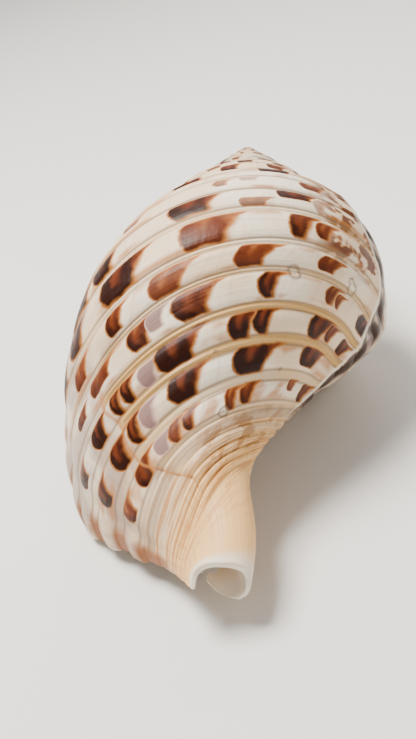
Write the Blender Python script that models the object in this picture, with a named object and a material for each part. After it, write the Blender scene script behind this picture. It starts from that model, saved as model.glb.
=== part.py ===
"""A triton shell lying on its aperture: one hollow solid, coiled by a growth rule.

Lengths in the growth rule are shares of the shell's length, with the apex at the origin
and the canal towards -Z. A turn is counted back from the lip, and a place along a whorl's
outline is counted by the rows of OUTLINE, from the suture to the tip of the canal.
"""
import math

import bmesh
import bpy
import numpy as np
from mathutils import Matrix, Vector

# Driving dimensions, in metres
SHELL_LENGTH = 0.250
FLAT_DEPTH = 0.0005

# Growth rule: every turn back from the lip, the shell is this many times smaller
GROWTH_PER_TURN = 1.625
TURNS = 5.6
LIP_AZIMUTH = math.radians(-22.4)

# Outline of the last whorl. The columns are radius, distance from the apex, how fully the
# radius and the distance follow the growth rule, and how far the lip leans ahead in degrees.
OUTLINE = np.array([
    [0.1586, 0.4207, 1.00, 1.000, 0.0],
    [0.2252, 0.4544, 1.00, 1.000, 0.0],
    [0.2532, 0.5056, 1.00, 1.000, 0.0],
    [0.2665, 0.5640, 1.00, 1.000, 0.0],
    [0.2689, 0.6078, 1.00, 1.000, 0.0],
    [0.2577, 0.6836, 1.00, 1.000, 0.0],
    [0.2300, 0.7445, 1.00, 0.980, -9.3],
    [0.1889, 0.7976, 1.00, 0.940, -12.9],
    [0.1113, 0.8747, 1.00, 0.905, -15.1],
    [0.0650, 0.9431, 0.98, 0.793, -20.2],
    [0.0392, 0.9736, 0.45, 0.630, -11.9],
    [0.0377, 1.0000, 0.00, 0.000, 17.3]])
COVER = 5
TIP = 11
# The next whorl hides everything past the cover line, so each outline starts on it
OUTLINE[0, :2] = OUTLINE[COVER, :2] / GROWTH_PER_TURN

# The neck's centre line leaves the axis towards the lip: distance from the apex, offset
NECK_LINE = np.array([[0.60, 0.0], [0.68, 0.0], [0.78, 0.032], [0.84, 0.043], [0.90, 0.038], [1.0, 0.047]])
NECK_START = 0.84
NECK_DROP = -0.005
NECK_SQUASH = 0.20
NECK_TILT = 0.21

# Spiral cords: the grooves between them, counted along the outline
SHOULDER_GROOVES = [0.0, 1.15, 2.25]
GROOVES = [2.25, 3.29, 4.31, 5.20, 5.99, 6.89, 7.43, 7.95, 8.43]
RIBLET_GROOVES = [8.43, 8.75, 9.05, 9.33, 9.60]
NECK_ROWS = [9.86, 10.12, 10.40, 10.70, 11.0]
CORD_HEIGHT = 0.0060
RIBLET_HEIGHT = 0.0030
CORD_EDGE = 0.225
SUTURE_FADE = 0.5
BURIED_TURN = 0.90

# Varices, the thickened edges of earlier lips, and the flare of the last lip
VARIX_SPACING = 21 / 36
VARIX_HEIGHT = 0.014
VARIX_BACK = 0.045
VARIX_FRONT = 0.022
RIDGE_END = 8.8
LIP_FLARE = 0.0128
BASE_FLARE = 0.053
BASE_START = 3.85
FLARE_REACH = 0.106
SCALLOP = 0.005
SCALLOP_REACH = 0.06
SPIKE = 0.016
SPIKE_REACH = 0.045
SPIKE_START = 9.5

# Wall and hollow. The hollow's ring goes down the outer wall and back up the inner one.
WALL = 0.012
CALLUS = 0.0022
CALLUS_EDGE = 0.0085
CALLUS_REACH = 0.15
APEX_TIP = 0.006
HOLLOW_START = -0.10
HOLLOW_END = 1.25
HOLLOW_OUTER = [0.55, 1.5, 2.6, 3.7, 4.8, 5.9, 6.9, 7.7, 8.4, 8.9]
HOLLOW_INNER = [10.45, 9.8, 9.0, 8.0, 7.0, 6.1, 5.35]

# Bore of the siphonal canal through the neck: distance from the apex, centre sideways,
# centre up and radius
CANAL = [(1.06, 0.047, -0.006, 0.0270), (0.985, 0.048, -0.008, 0.0262), (0.935, 0.057, -0.014, 0.0270),
         (0.885, 0.076, -0.024, 0.0285), (0.840, 0.095, -0.030, 0.0290)]
# Open slit beside the bore: its two azimuths in degrees at the same distances
SLIT = [(-12, -62), (-20, -66), (-34, -74), (-40, -80)]
SLIT_REACH = 0.12

# How the shell lies: turned about its axis, then nose down, in degrees
REST_ROLL = 9.15
REST_PITCH = 11.36

# Mesh steps
COLUMNS_PER_TURN = 36
HOLLOW_COLUMNS = 24
CANAL_SIDES = 20
SHARP_ANGLE = math.radians(35)
WELD = 2e-7


def natural_spline(knots, values):
    """A smooth curve through the values, as a function that takes arrays."""
    knots = np.asarray(knots, float)
    values = np.asarray(values, float)
    steps = np.diff(knots)
    slopes = np.diff(values) / steps
    count = len(knots)
    system = np.eye(count)
    right = np.zeros(count)
    for i in range(1, count - 1):
        system[i, i - 1:i + 2] = [steps[i - 1], 2 * (steps[i - 1] + steps[i]), steps[i]]
        right[i] = 6 * (slopes[i] - slopes[i - 1])
    bends = np.linalg.solve(system, right)

    def curve(x):
        i = np.clip(np.searchsorted(knots, x, side="right") - 1, 0, count - 2)
        step = steps[i]
        ahead = knots[i + 1] - x
        behind = x - knots[i]
        cubic = (bends[i] * ahead ** 3 + bends[i + 1] * behind ** 3) / (6 * step)
        near = (values[i] / step - bends[i] * step / 6) * ahead
        far = (values[i + 1] / step - bends[i + 1] * step / 6) * behind
        return cubic + near + far

    return curve


def smooth(x):
    """0 below 0, 1 above 1 and a soft step between."""
    x = np.clip(x, 0.0, 1.0)
    return x * x * (3 - 2 * x)


RADIUS, DISTANCE, RADIUS_SHARE, DISTANCE_SHARE, LEAN = [
    natural_spline(np.arange(len(OUTLINE)), column) for column in OUTLINE.T]
NECK_OFFSET = natural_spline(NECK_LINE[:, 0], NECK_LINE[:, 1])


def cord_height(along):
    """Height of the spiral cords across the outline, 0 in each groove."""
    grooves = np.array(SHOULDER_GROOVES[:-1] + GROOVES[:-1] + RIBLET_GROOVES + NECK_ROWS[:1])
    i = np.clip(np.searchsorted(grooves, along, side="right") - 1, 0, len(grooves) - 2)
    share = (along - grooves[i]) / (grooves[i + 1] - grooves[i])
    rise = np.sqrt(np.clip(np.minimum(share, 1 - share) / CORD_EDGE, 0.0, 1.0))
    return rise * np.where(along < GROOVES[-1], CORD_HEIGHT, RIBLET_HEIGHT)


def varix_share(turn):
    """How near the growth is to an earlier lip, 1 on its ridge and steeper in front."""
    share = np.zeros_like(turn)
    for number in range(1, int(TURNS / VARIX_SPACING) + 1):
        gap = turn - number * VARIX_SPACING
        share += np.exp(-(gap / np.where(gap > 0, VARIX_BACK, VARIX_FRONT)) ** 2)
    return share


def suture_fade(turn, along):
    """1 on the whorl and 0 at the sutures, where two whorls share their points."""
    from_start = smooth(along / SUTURE_FADE)
    buried = smooth((turn - BURIED_TURN) / (1 - BURIED_TURN))
    from_cover = smooth(np.abs(along - COVER) / SUTURE_FADE)
    return from_start * (1 - buried * (1 - from_cover))


def outside(turn, along):
    """Points of the shell's outer surface, without its cords."""
    size = GROWTH_PER_TURN ** (-turn)
    radius = RADIUS(along) * size ** RADIUS_SHARE(along)
    distance = DISTANCE(along) * size ** DISTANCE_SHARE(along)
    ridge = np.sin(math.pi * np.clip(along / RIDGE_END, 0, 1)) ** 0.35
    base = np.sin(math.pi * np.clip((along - BASE_START) / (TIP - BASE_START), 0, 1))
    flare = np.exp(-(np.maximum(turn, 0) / FLARE_REACH) ** 1.5)
    radius = radius + (LIP_FLARE * ridge + BASE_FLARE * base) * flare
    radius = radius + VARIX_HEIGHT * size * varix_share(turn) * ridge * suture_fade(turn, along)
    to_spike = np.minimum(np.abs(turn), np.abs(1 - turn)) / SPIKE_REACH
    distance = distance + SPIKE * np.exp(-to_spike ** 2) * smooth((along - SPIKE_START) / (TIP - SPIKE_START))
    azimuth = LIP_AZIMUTH + np.radians(LEAN(along)) + 2 * math.pi * turn
    neck = smooth((distance - NECK_START) / (1 - NECK_START))
    sideways = np.where(distance > NECK_LINE[1, 0], NECK_OFFSET(np.clip(distance, NECK_LINE[0, 0], 1.0)), 0.0)
    across = radius * np.sin(azimuth) * (1 - NECK_SQUASH * neck)
    return np.stack([radius * np.cos(azimuth) + sideways,
                     across + NECK_DROP * neck,
                     -distance - NECK_TILT * neck * across], -1)


def raised(turn, along, height):
    """Points of the outer surface moved out along its normal by a height."""
    step = 1e-4
    turn, along = np.broadcast_arrays(np.asarray(turn, float), np.asarray(along, float))
    across = outside(turn, np.minimum(along + step, TIP)) - outside(turn, np.maximum(along - step, 0.0))
    onward = outside(turn + step, along) - outside(turn - step, along)
    normal = np.cross(across, onward)
    normal /= np.linalg.norm(normal, axis=-1, keepdims=True)
    return outside(turn, along) + normal * np.broadcast_to(height, along.shape)[..., None]


def skin(turn, along):
    """The outer surface with its cords, which also scallop the lip's edge."""
    turn, along = np.broadcast_arrays(turn, along)
    cords = cord_height(along)
    fade = suture_fade(turn, along)
    edge = np.clip(1 - turn / SCALLOP_REACH, 0, 1) * fade * smooth(TIP - along)
    wavy_turn = turn - SCALLOP * edge * (cords / CORD_HEIGHT - 0.5)
    return raised(wavy_turn, along, cords * fade * GROWTH_PER_TURN ** (-turn))


def outline_rows():
    """Places along the outline that the mesh keeps, and the index of the cover line."""
    rows = []
    for start, end in zip(SHOULDER_GROOVES, SHOULDER_GROOVES[1:]):
        rows += [start, (start + end) / 2]
    for start, end in zip(GROOVES, GROOVES[1:]):
        edge = CORD_EDGE * (end - start)
        rows += [start, start + edge, end - edge]
    for start, end in zip(RIBLET_GROOVES, RIBLET_GROOVES[1:] + NECK_ROWS[:1]):
        rows += [start, (start + end) / 2]
    rows = np.array(rows + NECK_ROWS)
    cover = int(np.argmin(np.abs(rows - COVER)))
    rows[cover] = COVER
    return rows, cover


def add_grid(mesh, points):
    """A sheet of quads through a block of points, as rows of new vertices."""
    verts = [[mesh.verts.new(Vector(p) * SHELL_LENGTH) for p in row] for row in points.tolist()]
    for near, far in zip(verts, verts[1:]):
        for a, b, c, d in zip(near, near[1:], far[1:], far):
            mesh.faces.new((a, b, c, d))
    return verts


def zip_edges(mesh, left, right):
    """Triangles between two chains of vertices that share both ends."""
    i = j = 0
    while i < len(left) - 1 or j < len(right) - 1:
        if j == len(right) - 1 or (i < len(left) - 1 and i / len(left) <= j / len(right)):
            mesh.faces.new((left[i], left[i + 1], right[j]))
            i += 1
        else:
            mesh.faces.new((left[i], right[j + 1], right[j]))
            j += 1


def add_cap(mesh, ring, middle=None):
    """A fan of triangles that closes a ring of vertices, at their middle or at a given point."""
    if middle is None:
        middle = sum((vert.co for vert in ring), Vector()) / len(ring)
    centre = mesh.verts.new(middle)
    for a, b in zip(ring, ring[1:] + ring[:1]):
        mesh.faces.new((a, b, centre))


def close_mesh(mesh, name):
    """Weld the shared edges, point the faces outwards and hand over a mesh."""
    bmesh.ops.remove_doubles(mesh, verts=mesh.verts[:], dist=WELD)
    bmesh.ops.dissolve_degenerate(mesh, edges=mesh.edges[:], dist=WELD)
    bmesh.ops.recalc_face_normals(mesh, faces=mesh.faces[:])
    data = bpy.data.meshes.new(name)
    mesh.to_mesh(data)
    mesh.free()
    return data


def whole_shell():
    """The shell's outer form as a closed solid, with the aperture still filled."""
    rows, cover = outline_rows()
    last_turn = np.linspace(0, 1, COLUMNS_PER_TURN + 1)
    spire_turns = 1 + np.arange(round((TURNS - 1) * COLUMNS_PER_TURN) + 1) / COLUMNS_PER_TURN
    mesh = bmesh.new()
    body = add_grid(mesh, skin(last_turn[:, None], rows[None, :]))
    spire = add_grid(mesh, skin(spire_turns[:, None], rows[None, :cover + 1]))
    zip_edges(mesh, body[0], body[-1][cover:])
    add_cap(mesh, [column[-1] for column in body[:-1]])
    apex_ring = [column[0] for column in spire[-COLUMNS_PER_TURN - 1:]] + spire[-1][1:-1]
    add_cap(mesh, apex_ring, Vector((0, 0, -APEX_TIP * SHELL_LENGTH)))
    return close_mesh(mesh, "whole_shell")


def add_tube(rings, name):
    """A closed tube through rings of points, with both ends filled."""
    mesh = bmesh.new()
    loops = [[mesh.verts.new(Vector(p) * SHELL_LENGTH) for p in ring] for ring in rings]
    for near, far in zip(loops, loops[1:]):
        for a, b, c, d in zip(near, near[1:] + near[:1], far[1:] + far[:1], far):
            mesh.faces.new((a, b, c, d))
    for end in (loops[0], loops[-1]):
        add_cap(mesh, end)
    return close_mesh(mesh, name)


def whorl_hollow():
    """The space inside the last whorl, from in front of the lip back past one turn."""
    rings = []
    count = round((HOLLOW_END - HOLLOW_START) * HOLLOW_COLUMNS)
    for turn in np.linspace(HOLLOW_START, HOLLOW_END, count + 1):
        callus = CALLUS + (CALLUS_EDGE - CALLUS) * smooth(1 - turn / CALLUS_REACH)
        outer = raised(turn, HOLLOW_OUTER, -WALL * GROWTH_PER_TURN ** (-turn))
        inner = raised(turn + 1, HOLLOW_INNER, callus)
        rings.append(np.concatenate([outer, inner]).tolist())
    return add_tube(rings, "whorl_hollow")


def canal_bore():
    """The round bore of the siphonal canal, from past the tip into the last whorl."""
    angles = 2 * math.pi * np.arange(CANAL_SIDES) / CANAL_SIDES
    rings = []
    for distance, sideways, up, radius in CANAL:
        rings.append(np.stack([sideways + radius * np.cos(angles),
                               up + radius * (1 - NECK_SQUASH) * np.sin(angles),
                               np.full(CANAL_SIDES, -distance)], -1).tolist())
    return add_tube(rings, "canal_bore")


def canal_slit():
    """The open slit along the canal, between the lip's end and the columella's edge."""
    rings = []
    for azimuths, (distance, sideways, up, _) in zip(SLIT, CANAL):
        angles = np.radians(np.linspace(azimuths[0], azimuths[1], 3))
        fan = [(sideways + SLIT_REACH * math.cos(a), up + SLIT_REACH * math.sin(a), -distance) for a in angles]
        rings.append([(sideways, up, -distance)] + fan)
    return add_tube(rings, "canal_slit")


def cut_away(shell, data):
    """Take a cutter's shape out of the shell."""
    cutter = bpy.data.objects.new(data.name, data)
    bpy.context.scene.collection.objects.link(cutter)
    cutter.hide_render = True
    cutter.display_type = "WIRE"
    cut = shell.modifiers.new(data.name, "BOOLEAN")
    cut.operation = "DIFFERENCE"
    cut.object = cutter
    return cutter


def carve(shell, hollows):
    """Open the shell with the cutters and keep the result as its mesh."""
    cutters = [cut_away(shell, data) for data in hollows]
    evaluated = shell.evaluated_get(bpy.context.evaluated_depsgraph_get())
    carved = bpy.data.meshes.new_from_object(evaluated)
    shell.modifiers.clear()
    shell.data = carved
    for cutter in cutters:
        bpy.data.objects.remove(cutter)
    return carved


def settle(data):
    """Lay the shell on its aperture, apex towards +Y, with its foot at 0 and its box centred."""
    lying = Matrix(((-1, 0, 0), (0, 0, 1), (0, 1, 0))).to_4x4()
    roll = Matrix.Rotation(math.radians(REST_ROLL), 4, "Z")
    pitch = Matrix.Rotation(math.radians(REST_PITCH), 4, "X")
    data.transform(pitch @ lying @ roll)
    corners = np.array([vert.co[:] for vert in data.vertices])
    low = corners.min(0)
    middle = (low + corners.max(0)) / 2
    data.transform(Matrix.Translation((-middle[0], -middle[1], -low[2] - FLAT_DEPTH)))


def wear_flat(data):
    """Grind the places that touch the surface to small flats at height 0."""
    mesh = bmesh.new()
    mesh.from_mesh(data)
    everything = mesh.verts[:] + mesh.edges[:] + mesh.faces[:]
    cut = bmesh.ops.bisect_plane(mesh, geom=everything, dist=1e-7, plane_co=(0, 0, 0),
                                 plane_no=(0, 0, 1), clear_inner=True)
    rim = [edge for edge in cut["geom_cut"] if isinstance(edge, bmesh.types.BMEdge)]
    bmesh.ops.holes_fill(mesh, edges=rim, sides=0)
    bmesh.ops.recalc_face_normals(mesh, faces=mesh.faces[:])
    mesh.to_mesh(data)
    mesh.free()


def shell_material():
    """Glossy cream shell, between its white ground and its brown patches."""
    material = bpy.data.materials.new("glossy_shell")
    material.use_nodes = True
    surface = material.node_tree.nodes["Principled BSDF"]
    surface.inputs["Base Color"].default_value = (0.72, 0.60, 0.47, 1.0)
    surface.inputs["Roughness"].default_value = 0.3
    surface.inputs["Metallic"].default_value = 0.0
    return material


def main():
    for item in list(bpy.data.objects):
        bpy.data.objects.remove(item)
    whole = whole_shell()
    whole.materials.append(shell_material())
    shell = bpy.data.objects.new("triton_shell", whole)
    bpy.context.scene.collection.objects.link(shell)
    carved = carve(shell, [whorl_hollow(), canal_bore(), canal_slit()])
    settle(carved)
    wear_flat(carved)
    carved.shade_smooth()
    carved.set_sharp_from_angle(angle=SHARP_ANGLE)


main()
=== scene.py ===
"""Looks of a triton shell that lies on its aperture, in fine relief and with its markings.

The shell grows by the same rule as its solid. Lengths in the rule are shares of the shell's
length, with the apex at the origin and the canal towards -Z. A turn is counted back from the
lip, and a place along a whorl's outline is counted by the rows of OUTLINE.
"""
import math

import bmesh
import bpy
import numpy as np
from mathutils import Matrix, Vector


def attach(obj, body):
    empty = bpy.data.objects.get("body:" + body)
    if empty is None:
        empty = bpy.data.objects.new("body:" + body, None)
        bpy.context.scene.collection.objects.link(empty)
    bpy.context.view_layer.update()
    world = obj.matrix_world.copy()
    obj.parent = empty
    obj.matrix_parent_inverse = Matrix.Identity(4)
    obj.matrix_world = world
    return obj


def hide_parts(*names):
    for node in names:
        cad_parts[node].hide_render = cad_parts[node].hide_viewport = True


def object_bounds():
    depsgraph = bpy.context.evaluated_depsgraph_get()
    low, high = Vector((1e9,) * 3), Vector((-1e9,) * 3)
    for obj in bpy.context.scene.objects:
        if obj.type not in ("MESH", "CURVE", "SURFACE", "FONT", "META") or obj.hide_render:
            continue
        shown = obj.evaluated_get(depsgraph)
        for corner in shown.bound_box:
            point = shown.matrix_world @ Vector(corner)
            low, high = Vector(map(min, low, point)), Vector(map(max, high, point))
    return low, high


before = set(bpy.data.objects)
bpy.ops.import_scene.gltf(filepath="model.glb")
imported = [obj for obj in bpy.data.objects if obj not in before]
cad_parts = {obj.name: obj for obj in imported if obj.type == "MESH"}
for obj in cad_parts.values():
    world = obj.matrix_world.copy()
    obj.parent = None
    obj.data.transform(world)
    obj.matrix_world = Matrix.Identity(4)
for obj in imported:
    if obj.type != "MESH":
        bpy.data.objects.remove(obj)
CAD_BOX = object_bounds()

# Growth rule, as in the solid
SHELL_LENGTH = 0.250
GROWTH_PER_TURN = 1.625
TURNS = 5.6
LIP_AZIMUTH = math.radians(-22.4)
# Radius, distance from the apex, their shares of the growth, and the lip's lean in degrees
OUTLINE = np.array([
    [0.1586, 0.4207, 1.0, 1.0, 0.0],
    [0.2252, 0.4544, 1.0, 1.0, 0.0],
    [0.2532, 0.5056, 1.0, 1.0, 0.0],
    [0.2665, 0.5640, 1.0, 1.0, 0.0],
    [0.2689, 0.6078, 1.0, 1.0, 0.0],
    [0.2577, 0.6836, 1.0, 1.0, 0.0],
    [0.2300, 0.7445, 1.00, 0.980, -9.3],
    [0.1889, 0.7976, 1.00, 0.940, -12.9],
    [0.1113, 0.8747, 1.00, 0.905, -15.1],
    [0.0650, 0.9431, 0.98, 0.793, -20.2],
    [0.0392, 0.9736, 0.45, 0.630, -11.9],
    [0.0377, 1.0000, 0.00, 0.000, 17.3]])
COVER = 5
TIP = 11
OUTLINE[0, :2] = OUTLINE[COVER, :2] / GROWTH_PER_TURN
NECK_LINE = np.array([[0.60, 0.0], [0.68, 0.0], [0.78, 0.032], [0.84, 0.043], [0.90, 0.038], [1.0, 0.047]])
NECK_START = 0.84
NECK_DROP = -0.005
NECK_SQUASH = 0.20
NECK_TILT = 0.21
APEX_TIP = 0.006

# Spiral cords: the grooves between them, counted along the outline, with the height of the
# thread in each groove and how yellow it is
GROOVES = np.array([
    [0.00, 0.0, 0.0], [0.62, 0.0, 0.0], [1.15, 0.3, 0.1], [1.72, 0.2, 0.0], [2.25, 0.4, 0.2],
    [3.29, 0.5, 0.2], [4.31, 0.5, 0.3], [5.20, 0.5, 0.3], [5.99, 0.6, 0.6], [6.89, 0.8, 1.0],
    [7.43, 0.8, 1.0], [7.95, 0.5, 0.6], [8.43, 0.2, 0.5], [8.75, 0.0, 0.4], [9.05, 0.0, 0.4],
    [9.33, 0.0, 0.3], [9.60, 0.0, 0.2], [9.86, 0.0, 0.0]])
CORD_HEIGHT = 0.0060
SHOULDER_HEIGHT = 0.0036
RIBLET_HEIGHT = 0.0030
CORD_START = 2.25
RIBLET_START = 8.43
RIBLET_MARGIN = 0.1
GROOVE_FLOOR = 0.07
GROOVE_SIDE = 0.22
RIBLET_FLOOR = 0.02
RIBLET_SIDE = 0.09
THREAD_HEIGHT = 0.75
THREAD_WIDTH = 0.045
SUTURE_FADE = 0.5
BURIED_TURN = 0.90
# Below, two values in brackets are a soft step's start and its length, below 0 to step down
RIBLET_END = (9.6, 0.4)
RIBLET_RISE = (0.10, 0.22)
RIBLET_LEAST = 0.15
RIBLET_GAIN = 1.35
# Cords worn low near the lip, and a valley behind its edge with its middle and width in turns
WORN_SHARE = 0.65
WORN_BACK = (0.02, 0.02)
WORN_FRONT = (0.165, -0.03)
WORN_START = (3.5, 2.0)
VALLEY_DEPTH = 0.004
VALLEY_TURN = (0.045, 0.014)
VALLEY_START = (3.0, 2.0)
VALLEY_END = (9.3, -1.0)

# Varices and the last lip
VARIX_SPACING = 21 / 36
VARIX_HEIGHT = 0.014
VARIX_BACK = 0.045
VARIX_FRONT = 0.022
CREST_AHEAD = 0.012
CREST_LEAN = 0.125
CREST_UPRIGHT = (3.0, 4.2)
CREST_SCALLOP = 0.012
CREST_HEIGHT = 0.0040
CREST_TOP = 0.004
CREST_BACK = 0.006
CREST_FRONT = 0.014
CREST_START = (0.0, 1.2)
CREST_END = (8.2, 0.8)
# The hollow behind the crest, with its middle and width in turns
CREST_HOLLOW = 0.0030
CREST_HOLLOW_TURN = (0.022, 0.010)
SCAR_TURN = 0.148
SCAR_BEND = 0.10
SCAR_BEND_START = (8.0, 1.2)
SCAR_WAVE = 0.004
SCAR_WAVES = 7
SCAR_HEIGHT = 0.0030
SCAR_START = (6.5, 0.4)
SCAR_END = (9.4, 0.5)
SCAR_STEP = 0.005
SCAR_FADE = 0.05
RIDGE_END = 8.8
RIDGE_FULLNESS = 0.35
LIP_FLARE = 0.0128
BASE_FLARE = 0.053
BASE_START = 3.85
FLARE_REACH = 0.106
FLARE_POWER = 1.5
SCALLOP = 0.005
SCALLOP_REACH = 0.06
LIP_ROLL = 0.0042
TIP_ROLL = 0.0028
# The canal's rim: its distance from the apex, by the turn from its spike
RIM = np.array([
    [-0.04, 0.978], [0.000, 1.000], [0.022, 0.9965], [0.047, 0.992], [0.078, 0.9885], [0.120, 0.987],
    [0.181, 0.987], [0.286, 0.989], [0.375, 0.988], [0.459, 0.986], [0.514, 0.990], [0.556, 0.998],
    [0.606, 1.003], [0.661, 1.003], [0.734, 0.995], [0.764, 0.990], [0.803, 0.983], [0.836, 0.975],
    [0.867, 0.966], [0.895, 0.957], [0.930, 0.966], [1.000, 1.000]])
RIM_START = 0.93
RIM_MOST = 1.3
RIM_POWER = 1.5
SPIKE_BASE = 0.013
SPIKE_REACH = 0.05
SPIKE_START = 9.2
SPIKE_RISE = 0.9

# Wall and hollow
WALL = 0.012
CALLUS = 0.0022
CALLUS_EDGE = 0.0085
CALLUS_REACH = 0.15
CALLUS_FOLD = 0.0015
CALLUS_FOLDS = 3.0
CALLUS_FOLD_REACH = 0.2
LIP_THINNING = 0.35
LIP_THINNING_REACH = 0.02
# Teeth of the lip, with their middle and width in turns and from the nearest groove
TOOTH_SHARE = 0.25
TOOTH_TURN = (0.035, 0.016)
TOOTH_GAP = (0.13, 0.07)
# The whorl's hollow: its turns, and the places where its two sides start and end
HOLLOW_TURNS = np.concatenate([np.linspace(-0.10, -0.01, 6), np.linspace(0, 0.1, 26)[:-1],
                               np.linspace(0.1, 1.25, 84)])
HOLLOW_OUTER = (0.55, 8.9)
HOLLOW_INNER = (10.45, 5.35)
OUTER_ROWS = 72
THROAT_ROWS = 102
# The canal's bore: distance from the apex, its middle sideways and up, and its radius
CANAL = np.array([
    [1.060, 0.047, -0.006, 0.0270], [0.985, 0.048, -0.008, 0.0262], [0.935, 0.057, -0.014, 0.0270],
    [0.885, 0.076, -0.024, 0.0285], [0.840, 0.095, -0.030, 0.0290]])
BORE_DISTANCES = np.concatenate([[1.06, 1.02], np.linspace(1.006, 0.985, 6), np.linspace(0.97, 0.84, 14)])
BORE_SIDES = 72
BORE_FLARE = 0.0050
BORE_FLARE_START = (0.955, 0.035)
# Distance of each step of the slit and the angles of its two sides about the canal's middle
SLIT = np.array([
    [1.060, 40, -48], [1.010, 10, -48], [0.997, -3, -48], [0.990, -11, -48], [0.9815, -23, -48],
    [0.9765, -28, -49], [0.9705, -33, -50], [0.963, -37, -53], [0.954, -40, -57], [0.944, -42.5, -61],
    [0.930, -44.5, -67], [0.885, -46, -80]])
SLIT_REACH = 0.12
SLIT_STEPS = 44
SLIT_RADII = 10
SLIT_ARC = 5
# First station of each hollow in the shell's map, past the whorl's own, and the step between them
BORE_STATION = 2
SLIT_STATION = 3
STATION_STEP = 0.01

LYING = Matrix(((-1, 0, 0), (0, 0, 1), (0, 1, 0)))
REST_ROLL = 9.15
REST_PITCH = 11.36

# Mesh steps
COLUMNS_PER_TURN = 176
EDGE_ROLL = np.radians([90, 60, 30])
EDGE_ROLL_TURN = 1e-4
EDGE_ROLL_PLACE = 1e-3
SUTURE_ROWS = [0.0, 0.06, 0.12, 0.20, 0.30, 0.42]
GROOVE_ROWS = np.array([-0.20, -0.14, -0.09, -0.05, 0.0, 0.05, 0.09, 0.14, 0.20])
NECK_ROWS = np.linspace(9.95, TIP, 12)
LEAST_ROW = 0.028
NORMAL_STEP = 1e-4
WELD = 1.5e-6
CUT_REACH = 1e-7
SHARP_ANGLE = math.radians(42)
BOX_MARGIN = 1e-5

# Camera, fitted to the photograph of 416 x 739 pixels, about the shell's own axis
PHOTO_SIZE = (416, 739)
CAMERA_HEADING = 1.053
CAMERA_ROLL = -2.2455
CAMERA_ELEVATION = 42.8394
CAMERA_DISTANCE = 1.5947
CAMERA_TARGET = 0.6
FOCAL_PIXELS = 1069.73
IMAGE_CENTRE = (252.89, 359.86)
SENSOR = 36.0
NEAREST_SEEN = 0.01

# Floor and studio: colours, and each lamp's name, place in metres, size in metres and power in watts
FLOOR_HALF = 3.0
FLOOR_COLOUR = (0.80, 0.79, 0.77, 1.0)
FLOOR_ROUGHNESS = 0.6
SURROUND_COLOUR = (1.0, 0.98, 0.95, 1.0)
SURROUND_STRENGTH = 0.42
LAMP_COLOUR = (1.0, 0.95, 0.88)
LAMP_TARGET = (0, 0, 0.05)
LAMPS = [("key", (-0.30, 0.10, 0.95), 0.45, 27.0), ("fill", (0.7, -0.8, 0.6), 0.8, 3.0),
         ("back", (0.2, 0.9, 0.7), 0.6, 4.0)]


def natural_spline(knots, values):
    """A smooth curve through the values, as a function that takes arrays."""
    steps = np.diff(knots)
    slopes = np.diff(values) / steps
    count = len(knots)
    system = np.eye(count)
    right = np.zeros(count)
    for i in range(1, count - 1):
        system[i, i - 1:i + 2] = [steps[i - 1], 2 * (steps[i - 1] + steps[i]), steps[i]]
        right[i] = 6 * (slopes[i] - slopes[i - 1])
    bends = np.linalg.solve(system, right)

    def curve(x):
        i = np.clip(np.searchsorted(knots, x, side="right") - 1, 0, count - 2)
        step = steps[i]
        ahead = knots[i + 1] - x
        behind = x - knots[i]
        cubic = (bends[i] * ahead ** 3 + bends[i + 1] * behind ** 3) / (6 * step)
        near = (values[i] / step - bends[i] * step / 6) * ahead
        far = (values[i + 1] / step - bends[i + 1] * step / 6) * behind
        return cubic + near + far

    return curve


def smooth(x):
    """0 below 0, 1 above 1 and a soft step between."""
    x = np.clip(x, 0.0, 1.0)
    return x * x * (3 - 2 * x)


def ramp(value, start, length):
    """A soft step from 0 at the start to 1 a length past it, or before it where the length is below 0."""
    return smooth((value - start) / length)


def bell(value, middle, width):
    """1 in the middle, and fading on both sides."""
    return np.exp(-((value - middle) / width) ** 2)


RADIUS, DISTANCE, RADIUS_SHARE, DISTANCE_SHARE, LEAN = [
    natural_spline(np.arange(len(OUTLINE)), column) for column in OUTLINE.T]
NECK_OFFSET = natural_spline(NECK_LINE[:, 0], NECK_LINE[:, 1])


def nearest_groove(along):
    """Distance to the nearest groove, and that groove's thread height and yellowness."""
    gap = np.abs(np.asarray(along)[..., None] - GROOVES[:, 0])
    which = np.argmin(gap, -1)
    return np.take_along_axis(gap, which[..., None], -1)[..., 0], GROOVES[which, 1], GROOVES[which, 2]


def cord_share(along):
    """1 on top of the spiral cords and 0 in the grooves between them."""
    gap, thread, _ = nearest_groove(along)
    riblets = along > RIBLET_START - RIBLET_MARGIN
    floor = np.where(riblets, RIBLET_FLOOR, GROOVE_FLOOR)
    side = np.where(riblets, RIBLET_SIDE, GROOVE_SIDE)
    rise = np.clip((gap - floor) / side, 0.0, 1.0)
    return np.sqrt(rise * (2 - rise)) + THREAD_HEIGHT * thread * bell(gap, 0.0, THREAD_WIDTH)


def cord_height(along):
    """Height of the cords: low on the shoulder, full on the whorl and fine below it."""
    full = np.where(along < RIBLET_START, CORD_HEIGHT, RIBLET_HEIGHT)
    height = np.where(along < CORD_START, SHOULDER_HEIGHT, full)
    return height * cord_share(along) * (1 - ramp(along, *RIBLET_END))


def varix_share(turn):
    """How near the growth is to an earlier lip, 1 on its ridge and steeper in front."""
    share = np.zeros_like(turn)
    for number in range(1, int(TURNS / VARIX_SPACING) + 1):
        gap = turn - number * VARIX_SPACING
        share += bell(gap, 0.0, np.where(gap > 0, VARIX_BACK, VARIX_FRONT))
    return share


def crest_gap(turn, along):
    """Turns from the nearest old lip's edge, which leans ahead near the suture and is scalloped."""
    lean = CREST_LEAN * (1 - ramp(along, *CREST_UPRIGHT))
    scallop = CREST_SCALLOP * (np.clip(cord_share(along), 0, 1) - 0.5)
    number = np.clip(np.round((turn + lean) / VARIX_SPACING), 1, None)
    return turn - number * VARIX_SPACING + CREST_AHEAD + lean + scallop


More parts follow.
